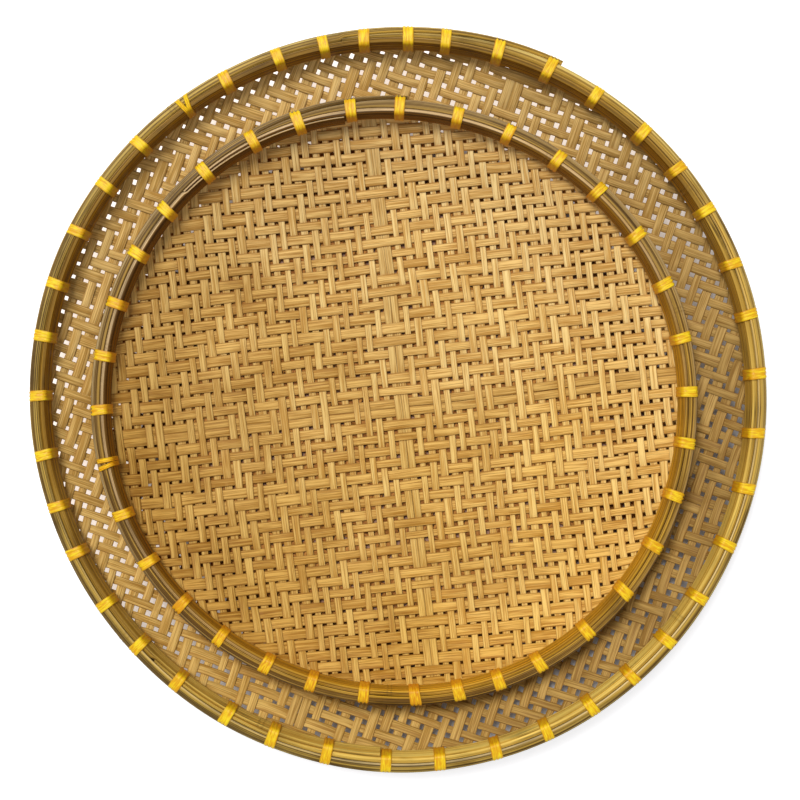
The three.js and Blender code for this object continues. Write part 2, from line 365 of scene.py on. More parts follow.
def mapped_mesh(name, verts, faces, maps):
    """A mesh with the strip map: metres along and across at each corner of each face."""
    mesh = bpy.data.meshes.new(name)
    mesh.from_pydata(verts, [], faces)
    strip = mesh.uv_layers.new(name="strip")
    strip.data.foreach_set("uv", [value for face in maps for corner in face for value in corner])
    return mesh


def write_values(mesh, name, values):
    """Gives each point of a mesh a number."""
    mesh.attributes.new(name, "FLOAT", "POINT").data.foreach_set("value", values)


def bake_tree(name, start_mesh, tree, settings, material):
    """Runs a tree on a mesh and keeps the result as a plain piece with its place in its mesh."""
    piece = add_object(name, start_mesh)
    modifier = piece.modifiers.new("made by rule", "NODES")
    modifier.node_group = tree
    sockets = {item.name: item.identifier for item in tree.interface.items_tree if item.in_out == "INPUT"}
    for label, value in {**settings, "Material": material}.items():
        modifier[sockets[label]] = value
    bpy.context.view_layer.update()
    graph = bpy.context.evaluated_depsgraph_get()
    made = bpy.data.meshes.new_from_object(piece.evaluated_get(graph), depsgraph=graph)
    made.name = name
    piece.modifiers.clear()
    piece.data = made
    bpy.data.meshes.remove(start_mesh)
    made.shade_smooth()
    made.set_sharp_from_angle(angle=SHARP_ANGLE)
    return piece


# The shape of a tray

def rim_root(tray):
    """Where the mat meets the straight, leaning stretch between the hoops, and the wall's curve below it."""
    lean, slope, bend = RIM_LEAN, WALL_SLOPE, tray["foot_bend"]
    upright = math.pi / 2 - lean
    hoop = tray["outer_hoop"]
    reach = HOOP_SEAT + hoop["thickness"]
    crest = (1 - HOOP_ROUND_UP_SHARE) * hoop["height"]
    radius = tray["rim_radius"] - reach * math.cos(lean) - crest * math.sin(lean)
    floor_radius = tray["rim_radius"] - tray["wall_run"]
    bend_start = radius - bend * (math.sin(upright) - math.sin(slope))
    wall_radius = (bend_start - floor_radius) / math.sin(slope)
    wall_rise = wall_radius * (1 - math.cos(slope))
    bend_rise = bend * (math.cos(slope) - math.cos(upright))
    return {
        "radius": radius,
        "height": tray["mat_thickness"] / 2 + wall_rise + bend_rise,
        "floor_radius": floor_radius,
        "wall_radius": wall_radius,
        "upright": upright,
        "edge": tray["inner_hoop"]["height"] - MAT_EDGE_DROP,
    }


def dish_line(tray, root, wall_steps=24, bend_steps=16):
    """The mat's middle line from the axis to its top edge, as points (radius, height)."""
    half = tray["mat_thickness"] / 2
    slope, bend, lean = WALL_SLOPE, tray["foot_bend"], RIM_LEAN
    line = [(0.0, half), (root["floor_radius"], half)]
    for step in range(1, wall_steps + 1):
        tilt = slope * step / wall_steps
        line.append((
            root["floor_radius"] + root["wall_radius"] * math.sin(tilt),
            half + root["wall_radius"] * (1 - math.cos(tilt)),
        ))
    foot_radius, foot_height = line[-1]
    for step in range(1, bend_steps + 1):
        tilt = lerp(slope, root["upright"], step / bend_steps)
        line.append((
            foot_radius + bend * (math.sin(tilt) - math.sin(slope)),
            foot_height + bend * (math.cos(slope) - math.cos(tilt)),
        ))
    edge = root["edge"]
    line.append((root["radius"] + edge * math.sin(lean), root["height"] + edge * math.cos(lean)))
    return line


def out_of_round(tray, angle):
    """A hand-bent rim is not quite round: what it gains in radius at an angle."""
    return sum(
        size * math.cos(WAVE_COUNTS[wave] * (angle - toward))
        for wave, (size, toward) in tray["waves"].items()
    )


def wave_settings(tray):
    """The same waves as the inputs of a tree."""
    settings = {}
    for wave in WAVE_COUNTS:
        settings[wave], settings[f"{wave} Toward"] = tray["waves"].get(wave, (0.0, 0.0))
    return settings


def gained(given, angle):
    """The same waves inside a tree."""
    total = 0.0
    for wave, count in WAVE_COUNTS.items():
        total = ((angle - given(f"{wave} Toward")) * float(count)).math("COSINE") * given(wave) + total
    return total


def rim_point(tray, root, angle, out, up):
    """A point of the rim: out is square to the hoops' faces, up runs along them."""
    lean = RIM_LEAN
    radius = root["radius"] + out * math.cos(lean) + up * math.sin(lean) + out_of_round(tray, angle)
    height = root["height"] - out * math.sin(lean) + up * math.cos(lean)
    return Vector((radius * math.cos(angle), radius * math.sin(angle), height)) + Vector(tray["centre"])


# The mats: splints laid flat in a twill, then pressed into the dish

def splints_tree():
    """Weaves one way of a mat. Its splints run along Y before the mat's turn."""
    tree, given, end = make_tree("GeometryNodeTree", "splints of a mat", {
        "Geometry": ["Geometry"],
        "Float": [
            "Pitch", "Pair", "Width", "Pair Width", "Thickness", "Cross Pitch", "Cross Pair", "Reach", "Turn",
            "Middle X", "Middle Y", "Floor Radius", "Root Radius", *WAVE_INPUTS, "Rim Squeeze",
            "Squeeze Start", "Squeeze End", "Lies Over", "Wander", "Sway", "Sway Seed", "Seed", "Broad Out",
            "Broad Side", "Broad Toward",
        ],
        "Int": ["Rows", "Stations"], "Object": ["Dish Line"], "Vector": ["Centre"], "Material": ["Material"],
    }, {"Geometry": ["Geometry"]})

    def steps_from_middle(count):
        """..., -1.5, -0.5, 0.5, 1.5, ... along a line of points."""
        return add_number(tree, "GeometryNodeInputIndex") - (count * 0.5 - 0.5)

    def noise(x, y, z):
        """Smooth noise from -1 to 1."""
        return noise_at(tree, x, y, z) * 2.0 - 1.0

    def chance(seed):
        """A number from 0 to 1 that is the same for the same seed."""
        return add_number(tree, "ShaderNodeTexWhiteNoise", {"W": seed}, noise_dimensions="1D")

    # One point for each splint
    row = steps_from_middle(given("Rows"))
    row_x = row.math("SIGN") * (given("Pair") + (abs(row) - 0.5) * given("Pitch"))
    rows = add_shape(tree, "GeometryNodeMeshLine", {"Count": given("Rows")})
    rows = store(tree, rows, row=row)
    rows = place_at(tree, rows, row_x, 0.0, 0.0)

    # The stations of a splint, so many for each one that it crosses
    station = steps_from_middle(given("Stations"))
    beyond_pair = ((abs(station) - 1.0) / STEPS_PER_CROSSING).at_least(0.0)
    station_y = given("Cross Pair") + beyond_pair * given("Cross Pitch")
    station_y = mixed(station_y, given("Cross Pair") * 0.5, abs(station).math("LESS_THAN", 1.0))
    ladder = add_shape(tree, "GeometryNodeMeshLine", {"Count": given("Stations")})
    ladder = place_at(tree, ladder, 0.0, station.math("SIGN") * station_y, 0.0)
    ladder = add_shape(tree, "GeometryNodeMeshToCurve", {0: ladder})
    lines = add_shape(tree, "GeometryNodeInstanceOnPoints", {"Points": rows, "Instance": ladder})
    lines = add_shape(tree, "GeometryNodeRealizeInstances", {0: lines})

    # Each splint ends where its line leaves the round of the mat
    x, y, _ = here(tree)
    from_axis, along = x + given("Middle X"), y + given("Middle Y")
    half_chord = (given("Reach") * given("Reach") - from_axis * from_axis).at_least(0.0).math("SQRT")
    last = half_chord + given("Cross Pitch") / STEPS_PER_CROSSING
    cut_off = abs(along).math("GREATER_THAN", last).at_least(half_chord.math("LESS_THAN", given("Width")))
    lines = add_shape(tree, "GeometryNodeDeleteGeometry", {"Geometry": lines, "Selection": cut_off})
    lines = place_at(tree, lines, x, along.at_least(-half_chord).at_most(half_chord) - given("Middle Y"), 0.0)
    x, y, _ = here(tree)
    lines = store(tree, lines, row_x=x, along=y)

    # The splint's section, with its corners taken off
    section = add_shape(tree, "GeometryNodeCurvePrimitiveQuadrilateral", {
        "Width": given("Width"), "Height": given("Thickness"),
    })
    section = add_shape(
        tree, "GeometryNodeFilletCurve", {"Curve": section, "Radius": SPLINT_CORNER, "Count": 1}, mode="POLY",
    )
    lines = add_shape(tree, "GeometryNodeSetCurveNormal", {"Curve": lines}, mode="Z_UP")
    splints = add_shape(
        tree, "GeometryNodeCurveToMesh", {"Curve": lines, "Profile Curve": section, "Fill Caps": True},
    )

    # Over two and under two, in diamonds round the middle
    x, _, z = here(tree)
    splints = store(tree, splints, across=x - stored(tree, "row_x")[0], height=z)
    row, row_x, along, across, height = stored(tree, "row", "row_x", "along", "across", "height")
    own = (abs(row) - 0.5).math("ROUND")
    crossing = ((abs(along) - given("Cross Pair")) / given("Cross Pitch")).at_least(0.0)
    before = crossing.math("FLOOR")

    def over(cross):
        place = (own + cross + 1.0).math("FLOORED_MODULO", TWILL_REPEAT)
        return place.math("LESS_THAN", TWILL_REPEAT / 2 - 0.5) * 2.0 - 1.0

    level = mixed(over(before), over(before + 1.0), (crossing - before).eased(0.25, 0.75))
    level = level * given("Lies Over")
    lift = level * (given("Thickness") * 0.5 + CROSSING_CLEARANCE) + height

    # Hand-split bamboo: each splint has its own width, which changes along it, and it wanders a little
    seed = row * 7.31 + given("Seed")
    own_width = chance(seed) * WIDTH_SPREAD + WIDTH_LEAST
    own_width = own_width + noise(seed, along * 28.0, 3.0) * WIDTH_DRIFT
    own_width = mixed(own_width, given("Pair Width") / given("Width"), abs(row).math("LESS_THAN", 1.0))
    from_middle_x, from_middle_y = row_x / given("Reach"), along / given("Reach")
    outward = (from_middle_x * from_middle_x + from_middle_y * from_middle_y).math("SQRT").eased(0.55, 0.95)
    toward = given("Broad Toward") - given("Turn")
    side = from_middle_x * toward.math("COSINE") + from_middle_y * toward.math("SINE")
    own_width = own_width + outward * given("Broad Out") + side * given("Broad Side")
    flat_x = row_x + across * own_width + noise(seed, along * 13.0, 9.0) * given("Wander") + given("Middle X")
    flat_y = along + given("Middle Y")
    turn_cos, turn_sin = given("Turn").math("COSINE"), given("Turn").math("SINE")
    turned_x, turned_y = flat_x * turn_cos - flat_y * turn_sin, flat_x * turn_sin + flat_y * turn_cos
    sway_x = turned_x + noise(turned_x * 9.0, turned_y * 9.0, given("Sway Seed")) * given("Sway")
    sway_y = turned_y + noise(turned_x * 9.0, turned_y * 9.0, given("Sway Seed") + 5.0) * given("Sway")

    # Pressed into the dish: the distance from the axis is kept along the dish's own line
    angle = sway_y.math("ARCTAN2", sway_x)
    reached = (sway_x * sway_x + sway_y * sway_y).math("SQRT").at_most(given("Reach"))
    dish = shape_of(tree, given("Dish Line"))
    on_dish = add_node(tree, "GeometryNodeSampleCurve", {"Curves": dish, "Length": reached}, mode="LENGTH")
    dish_radius, _, dish_height = split_point(tree, on_dish.outputs["Position"])
    run, _, rise = split_point(tree, on_dish.outputs["Tangent"])
    squeezed = reached.eased(given("Squeeze Start"), given("Squeeze End"))
    lift = lift * ((given("Rim Squeeze") - 1.0) * squeezed + 1.0)
    share = (dish_radius - given("Floor Radius")) / (given("Root Radius") - given("Floor Radius"))
    radius = dish_radius - rise * lift + gained(given, angle) * share.at_least(0.0).at_most(1.0)
    splints = place_at(
        tree, splints, radius * angle.math("COSINE"), radius * angle.math("SINE"), dish_height + run * lift,
        given("Centre"),
    )
    spine = abs(row).math("LESS_THAN", 1.0)
    splints = store(tree, splints, splint=chance(seed + 0.5), level=level, spine=spine)
    return end_shape(tree, store_map(tree, splints, along, across), given, end)


def line_object(name, points):
    """A line that a tree can follow; it is taken away once it has been used."""
    curve = bpy.data.curves.new(name, "CURVE")
    curve.dimensions = "3D"
    spline = curve.splines.new("POLY")
    spline.points.add(len(points) - 1)
    for point, (radius, height) in zip(spline.points, points):
        point.co = (radius, 0.0, height, 1.0)
    return add_object(name, curve)


def weave_mat(tray, weave, tree, materials):
    """Both ways of a tray's mat, as two pieces that stand for the mat's node."""
    root = rim_root(tray)
    points = dish_line(tray, root)
    reach = sum(math.dist(start, stop) for start, stop in zip(points, points[1:])) - MAT_EDGE_SPARE
    guide = line_object(f"{tray['name']}_dish_line", points)
    for way, other, side, quarter in (("warps", "wefts", 1.0, 0.0), ("wefts", "warps", -1.0, math.pi / 2)):
        own, cross = weave[way], weave[other]
        turn = weave["turn"] + quarter
        middle_x, middle_y = weave["middle"]
        furthest = reach + math.hypot(middle_x, middle_y)
        settings = {
            **own,
            **weave["both"],
            **wave_settings(tray),
            "Cross Pitch": cross["Pitch"],
            "Cross Pair": cross["Pair"],
            "Reach": reach,
            "Turn": turn,
            "Middle X": middle_x * math.cos(turn) + middle_y * math.sin(turn),
            "Middle Y": middle_y * math.cos(turn) - middle_x * math.sin(turn),
            "Floor Radius": root["floor_radius"],
            "Root Radius": root["radius"],
            "Rim Squeeze": RIM_MAT_THICKNESS / tray["mat_thickness"],
            "Squeeze Start": reach - root["edge"] - tray["foot_bend"],
            "Squeeze End": reach - root["edge"],
            "Lies Over": side,
            "Wander": WANDER,
            "Sway": SWAY,
            "Rows": 2 * math.ceil(furthest / own["Pitch"]),
            "Stations": 2 * STEPS_PER_CROSSING * math.ceil(furthest / cross["Pitch"]),
            "Dish Line": guide,
            "Centre": tray["centre"],
        }
        name = f"{tray['name']}_mat_{way}"
        piece = bake_tree(name, bpy.data.meshes.new(f"{name}_start"), tree, settings, materials[way])
        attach(piece, tray["body"])
        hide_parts(f"{tray['name']}_mat")
    bpy.data.objects.remove(guide)


# The hoops: laths bent round the mat's edge, with lapped ends

def hoop_faces(hoop, along):
    """A hoop's near and far face, from the mat's middle line, at a distance along the lath in degrees."""
    thickness, lap = hoop["thickness"], abs(hoop["lap"])
    near, far = HOOP_SEAT, HOOP_SEAT + thickness
    if along <= lap:
        share = along / lap
        near = HOOP_SEAT + lerp(thickness, LAP_TIP, share) + AIR_GAP
        far = HOOP_SEAT + thickness + (1 - share) * (AIR_GAP + hoop["lap_end"])
    elif along >= 360:
        share = (along - 360) / lap
        far = HOOP_SEAT + lerp(thickness, LAP_TIP, share)
    return near, far


def lath_section(near, far, height, side, closing):
    """A lath's section as corners (out, up, edge): flat towards the mat, rounded over away from it.
    Above the mat its near face leans over to the other hoop. edge is 1 on the cut edge that shows on top."""
    thickness = far - near
    across, up = thickness * HOOP_ROUND_ACROSS_SHARE, height * HOOP_ROUND_UP_SHARE
    corner = min(LATH_CORNER, thickness * 0.2)
    top_near, bulge = near - closing, far + thickness * LATH_BULGE_SHARE
    corners = [(near, corner, 0.0), (near + corner, 0.0, 0.0)]
    for step in range(5):
        turn = math.pi / 2 * step / 4
        corners.append((far - across + across * math.sin(turn), up - up * math.cos(turn), 0.0))
    corners += [(bulge, height * 0.4, 0.0), (bulge, height * 0.6, 0.0)]
    for step in range(5):
        turn = math.pi / 2 * step / 4
        edge = step / 5 if side > 0 else step / 10
        corners.append((far - across + across * math.cos(turn), height - up + up * math.sin(turn), edge))
    shown = lerp(top_near, far, 0.42 if side > 0 else 0.5)
    corners += [
        (shown, height, 0.9 if side > 0 else 0.5), (top_near + corner, height, 1.0),
        (top_near, height - corner, 1.0), (top_near, height - 0.0016, 0.0), (near, height - 0.0034, 0.0),
    ]
    return corners


def bend_lath(tray, hoop, name, material):
    """A hoop as one lath: it swells at the bamboo's knots, waves a little and shows its cut ends."""
    root = rim_root(tray)
    turn = math.copysign(1, hoop["lap"])
    length = 360 + abs(hoop["lap"])
    closest = HOOP_SEAT - HOOPS_APART / 2
    shake = random.Random(name)
    waves = [(shake.uniform(0.6, 1.0), shake.choice((5, 7, 9, 13)), shake.uniform(0, 6.28)) for _ in range(4)]
    stops = {length * step / HOOP_STATIONS for step in range(HOOP_STATIONS + 1)}
    knots = [(turn * (knot - hoop["end"])) % 360 for knot in hoop["knots"]]
    for knot in knots:
        stops.update(knot + shift for shift in KNOT_STOPS_DEGREES)
    rings, marks = [], []
    for along in sorted(stops):
        near, far = hoop_faces(hoop, along)
        angle = math.radians(hoop["end"] + turn * along)
        wave = sum(size * math.sin(count * angle + phase) for size, count, phase in waves) / 4
        swell = sum(
            math.exp(-((along - knot - ridge) / KNOT_WIDTH_DEGREES) ** 2)
            for knot in knots for ridge in (-KNOT_RIDGE_DEGREES, KNOT_RIDGE_DEGREES)
        )
        ring = []
        closing = closest if along > abs(hoop["lap"]) else 0.0
        for out, up, edge in lath_section(near, far, hoop["height"], hoop["side"], closing):
            skin = max(0.0, (out - near) / max(far - near, 1e-6))
            out = out + skin * (KNOT_SWELL * swell + LATH_WAVER_OUT * wave)
            up = up + LATH_WAVER_UP * wave * (up / hoop["height"])
            ring.append((rim_point(tray, root, angle, hoop["side"] * out, up), edge))
        rings.append(ring)
        marks.append((math.radians(along) * root["radius"], swell))
    return sweep(name, rings, marks, material, flip=turn * hoop["side"] > 0)


def sweep(name, rings, marks, material, flip):
    """Joins rings of points into one closed piece with capped ends and a map along and round it."""
    sides = len(rings[0])
    verts = [point for ring in rings for point, _ in ring]
    middle = [point for point, _ in rings[len(rings) // 2]]
    round_it = [0.0]
    for start, stop in zip(middle, middle[1:] + middle[:1]):
        round_it.append(round_it[-1] + (stop - start).length)
    faces, maps = [], []
    for ring in range(len(rings) - 1):
        for side in range(sides):
            low, high = ring * sides + side, ring * sides + (side + 1) % sides
            faces.append((low, high, high + sides, low + sides))
            here_along, next_along = marks[ring][0], marks[ring + 1][0]
            maps.append((
                (here_along, round_it[side]), (here_along, round_it[side + 1]),
                (next_along, round_it[side + 1]), (next_along, round_it[side]),
            ))
    end = (len(rings) - 1) * sides
    faces.append(tuple(reversed(range(sides))))
    maps.append(tuple((marks[0][0], round_it[side]) for side in reversed(range(sides))))
    faces.append(tuple(range(end, end + sides)))
    maps.append(tuple((marks[-1][0], round_it[side]) for side in range(sides)))
    if flip:
        faces = [tuple(reversed(face)) for face in faces]
        maps = [tuple(reversed(corners)) for corners in maps]
    mesh = mapped_mesh(name, verts, faces, maps)
    write_values(mesh, "cut_edge", [edge for ring in rings for _, edge in ring])
    write_values(mesh, "knot", [swell for _, swell in marks for _ in range(sides)])
    mesh.materials.append(material)
    mesh.shade_smooth()
    mesh.set_sharp_from_angle(angle=SHARP_ANGLE)
    return add_object(name, mesh)


# The lashings: strips wound round both hoops

def lashing_angles(tray):
    """Where the CAD model's lashings stand round the rim, in degrees."""
    root = rim_root(tray)
    low = tray["centre"][2] + root["height"] + tray["inner_hoop"]["height"] / 2
    angles = []
    for name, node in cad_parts.items():
        if not name.startswith(f"{tray['name']}_lashing"):
            continue
        found = sorted(
            math.degrees(math.atan2(v.co.y - tray["centre"][1], v.co.x - tray["centre"][0])) % 360
            for v in node.data.vertices if v.co.z < low
        )
        gaps = [
            index for index in range(1, len(found)) if found[index] - found[index - 1] > LEAST_GAP_DEGREES
        ]
        for group in (found[:gaps[0]], found[gaps[0]:]) if gaps else (found,):
            angles.append((group[0] + group[-1]) / 2)
    return sorted(angles)


def hoop_reach(tray, hoop, degrees):
    """How far a hoop reaches from the mat's middle line under a lashing, its lap included."""
    turn = math.copysign(1, hoop["lap"])
    half = math.degrees(LASHING_WIDTH / 2 / rim_root(tray)["radius"])
    return max(
        hoop_faces(hoop, (turn * (degrees + shift - hoop["end"])) % 360)[1]
        for shift in (-half, 0, half)
    )


def rounded(corners, radius, steps=3):
    """A closed outline with its corners rounded over."""
    outline = []
    count = len(corners)
    for index, corner in enumerate(corners):
        corner = Vector(corner)
        before, after = Vector(corners[index - 1]) - corner, Vector(corners[(index + 1) % count]) - corner
        cut = min(radius, before.length * 0.45, after.length * 0.45)
        start, stop = corner + before.normalized() * cut, corner + after.normalized() * cut
        for step in range(steps + 1):
            share = step / steps
            outline.append((start.lerp(corner, share)).lerp(corner.lerp(stop, share), share))
    return outline


def lashing_mesh(tray):
    """One lashing laid out flat to the rim: x out of the hoops, y along the rim, z up them."""
    outer, inner = tray["outer_hoop"], tray["inner_hoop"]
    out, back = HOOP_SEAT + outer["thickness"], -(HOOP_SEAT + inner["thickness"])
    corners = [
        (back, 0.0), (out - outer["thickness"] * 0.3, 0.0), (out, outer["height"] * 0.22),
        (out, outer["height"] * 0.74), (out - outer["thickness"] * 0.34, outer["height"]),
        (HOOP_SEAT + 0.0006, outer["height"]), (back + 0.0008, inner["height"] + 0.0003),
        (back, inner["height"] - 0.0012),
    ]
    outline = rounded(corners, LASHING_ROUNDING)
    count = len(outline)
    top = []
    for turn in range(LASHING_TURNS):
        for share, lift in ((0.04, 0.55), (0.5, 1.0), (0.96, 0.55)):
            top.append(((turn + share) / LASHING_TURNS - 0.5, lift))
    profile = [(-0.5, 0.0)] + top + [(0.5, 0.0)]
    sides = len(profile)
    verts, faces, maps = [], [], []
    lengths = [0.0]
    for index in range(count):
        lengths.append(lengths[-1] + (outline[(index + 1) % count] - outline[index]).length)
    for index, point in enumerate(outline):
        ahead, behind = outline[(index + 1) % count], outline[index - 1]
        way = (ahead - behind).normalized()
        square = Vector((way.y, -way.x))
        for y, lift in profile:
            spot = point + square * (LASHING_AIR_GAP + LASHING_THICKNESS * lift)
            verts.append((spot.x, y * LASHING_WIDTH, spot.y))
    for ring in range(count):
        low, high = ring * sides, (ring + 1) % count * sides
        here_at, next_at = lengths[ring:ring + 2]
        for side in range(sides):
            after = (side + 1) % sides
            faces.append((low + side, low + after, high + after, high + side))
            start, stop = profile[side][0] * LASHING_WIDTH, profile[after][0] * LASHING_WIDTH
            maps.append(((here_at, start), (here_at, stop), (next_at, stop), (next_at, start)))
    return mapped_mesh("lashing", verts, faces, maps)


def lashings_tree():
    """Puts a lashing at each point, fits it over the hoops there and bends it round the rim."""
    tree, given, end = make_tree("GeometryNodeTree", "lashings of a rim", {
        "Geometry": ["Geometry"],
        "Float": ["Root Radius", "Root Height", "Lean", *WAVE_INPUTS, "Plain Out", "Plain In"],
        "Object": ["Lashing"], "Vector": ["Centre"], "Material": ["Material"],
    }, {"Geometry": ["Geometry"]})
    bands = add_shape(tree, "GeometryNodeInstanceOnPoints", {
        "Points": given("Geometry"), "Instance": shape_of(tree, given("Lashing")),
    })
    bands = add_shape(tree, "GeometryNodeRealizeInstances", {0: bands})
    angle, reach_out, reach_in, tilt, broad, slide = stored(tree, *BAND_VALUES)
    x, y, z = here(tree)
    # Where a lashing lies low on the rim's inside; the lashing's material paints orange shade there.
    inside = (x / given("Plain In")).eased(0.2, -1.0) * (z / given("Plain Out")).eased(2.6, 0.6)
    bands = store(tree, bands, inside=inside)
    outside = x.math("GREATER_THAN", 0.0)
    stretch = mixed(reach_in / given("Plain In"), reach_out / given("Plain Out"), outside)
    out = x * stretch
    along = y * broad + slide + tilt * out
    turned = angle + along / given("Root Radius")
    lean_cos, lean_sin = given("Lean").math("COSINE"), given("Lean").math("SINE")
    radius = given("Root Radius") + out * lean_cos + z * lean_sin + gained(given, turned)
    bands = place_at(
        tree, bands, radius * turned.math("COSINE"), radius * turned.math("SINE"),
        given("Root Height") - out * lean_sin + z * lean_cos, given("Centre"),
    )
    return end_shape(tree, bands, given, end)


def wind_lashings(tray, tree, material, parted):
    """All lashings of a tray as one piece; parted names those whose turns lie apart, with their spread."""
    root = rim_root(tray)
    outer, inner = tray["outer_hoop"], tray["inner_hoop"]
    shake = random.Random(tray["name"])
    bands = []
    for degrees in lashing_angles(tray):
        reaches = hoop_reach(tray, outer, degrees), hoop_reach(tray, inner, degrees)
        near = [spread for place, spread in parted.items() if abs(place - degrees) < PARTED_WITHIN_DEGREES]
        tilt = shake.uniform(-LASHING_TILT, LASHING_TILT)
        if not near:
            bands.append((degrees, *reaches, tilt, shake.uniform(0.94, 1.06), 0.0))
        for spread in near:
            for side in (-1, 1):
                slide = side * LASHING_WIDTH * PARTED_SLIDE
                bands.append((degrees, *reaches, tilt + side * spread, PARTED_BROAD, slide))
    mesh = bpy.data.meshes.new(f"{tray['name']}_lashing_places")
    mesh.from_pydata([(0.0, 0.0, 0.0)] * len(bands), [], [])
    for column, label in enumerate(BAND_VALUES):
        values = [math.radians(band[0]) if label == "angle" else band[column] for band in bands]
        write_values(mesh, label, values)
    write_values(mesh, "splint", [shake.random() for _ in bands])
    shape = add_object("lashing", lashing_mesh(tray))
    piece = bake_tree(f"{tray['name']}_lashings", mesh, tree, {
        "Root Radius": root["radius"],
        "Root Height": root["height"],
        "Lean": RIM_LEAN,
        **wave_settings(tray),
        "Plain Out": HOOP_SEAT + outer["thickness"],
        "Plain In": HOOP_SEAT + inner["thickness"],
        "Lashing": shape,
        "Centre": tray["centre"],
    }, material)
    bpy.data.objects.remove(shape)
    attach(piece, tray["body"])
    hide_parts(*[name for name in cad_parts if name.startswith(f"{tray['name']}_lashing")])


# Finishes

def mix_colours(tree, share, start, stop):
    """From one colour to another by a share."""
    node = add_node(tree, "ShaderNodeMix", data_type="RGBA")
    for socket, value in zip((node.inputs[0], node.inputs[6], node.inputs[7]), (share, start, stop)):
        feed(tree, socket, value)
    return node.outputs[2]


def strip_map(tree):
    """Metres along a strip and across it."""
    return split_point(tree, add_node(tree, "ShaderNodeUVMap", uv_map="strip").outputs[0])[:2]


def object_point(tree):
    return split_point(tree, add_node(tree, "ShaderNodeTexCoord").outputs["Object"])


def fibre_group():
    """Split bamboo's fibres: streaks and fine lines that run along a strip, from a dark to a light tone."""
    tree, given, end = make_tree("ShaderNodeTree", "bamboo fibres", {
        "Color": ["Light", "Dark"],
        "Float": ["Number", "Run", "Streaks", "Lines", "Contrast", "Variation"],
    }, {"Color": ["Color"], "Float": ["Height"]})
    along, across = strip_map(tree)
    number = given("Number") * 61.0
    streaks = noise_at(tree, along * given("Run"), across * given("Streaks"), number, 2.0).eased(0.32, 0.68)
    lines = noise_at(tree, along * (given("Run") * 0.8), across * given("Lines"), number + 17.0, 2.0)
    lines = lines.eased(0.36, 0.64)
    height = streaks * 0.45 + lines * 0.55
    tone = (height - 0.5) * given("Contrast") + (given("Number") - 0.5) * given("Variation") + 0.5
    tone = tone.at_least(0.0).at_most(1.0)
    feed(tree, end.inputs["Color"], mix_colours(tree, tone, given("Dark"), given("Light")))
    feed(tree, end.inputs["Height"], height)
    return tree


def patch_group():
    """How much of a second tone a piece has: it lies in patches, and more of it toward one side."""
    tree, given, end = make_tree("ShaderNodeTree", "uneven tone", {
        "Float": ["Patch Size", "Spread", "Amount", "Toward X", "Toward Y"],
    }, {"Float": ["Share"]})
    x, y, z = object_point(tree)
    size = given("Patch Size")
    amount = (noise_at(tree, x / size, y / size, z / size, 3.0) - 0.5) * given("Spread")
    amount = amount + x * given("Toward X") + y * given("Toward Y") + given("Amount")
    feed(tree, end.inputs["Share"], amount.at_least(0.0).at_most(1.0))
    return tree


FIBRES = fibre_group()
PATCHES = patch_group()


def use_group(tree, group, inputs):
    node = add_node(tree, "ShaderNodeGroup", node_tree=group)
    for label, value in inputs.items():
        feed(tree, node.inputs[label], value)
    return node.outputs


def uneven(tree, size, spread, toward, amount):
    """The share of a second tone, from the group above."""
    return Field(tree, use_group(tree, PATCHES, {
        "Patch Size": size, "Spread": spread, "Amount": amount, "Toward X": toward[0], "Toward Y": toward[1],
    })["Share"])


def attribute(tree, name):
    return Field(tree, add_node(tree, "ShaderNodeAttribute", attribute_name=name).outputs["Fac"])


def start_material(name, sheen):
    """A material with its shader; sheen is how much of the light glances off."""
    material = bpy.data.materials.new(name)
    material.use_nodes = True
    shader = material.node_tree.nodes["Principled BSDF"]
    shader.inputs["Specular IOR Level"].default_value = sheen
    return material, material.node_tree, shader


def dress(tree, shader, base, height, depth, roughness):
    """Feeds the shader: its colour, a roughness that follows the fibres, and the fibres as a bump."""
    feed(tree, shader.inputs["Base Color"], base)
    feed(tree, shader.inputs["Roughness"], height * 0.2 + (roughness - 0.1))
    bump = add_node(tree, "ShaderNodeBump", {"Strength": 0.7, "Distance": depth, "Height": height})
    feed(tree, shader.inputs["Normal"], bump.outputs[0])


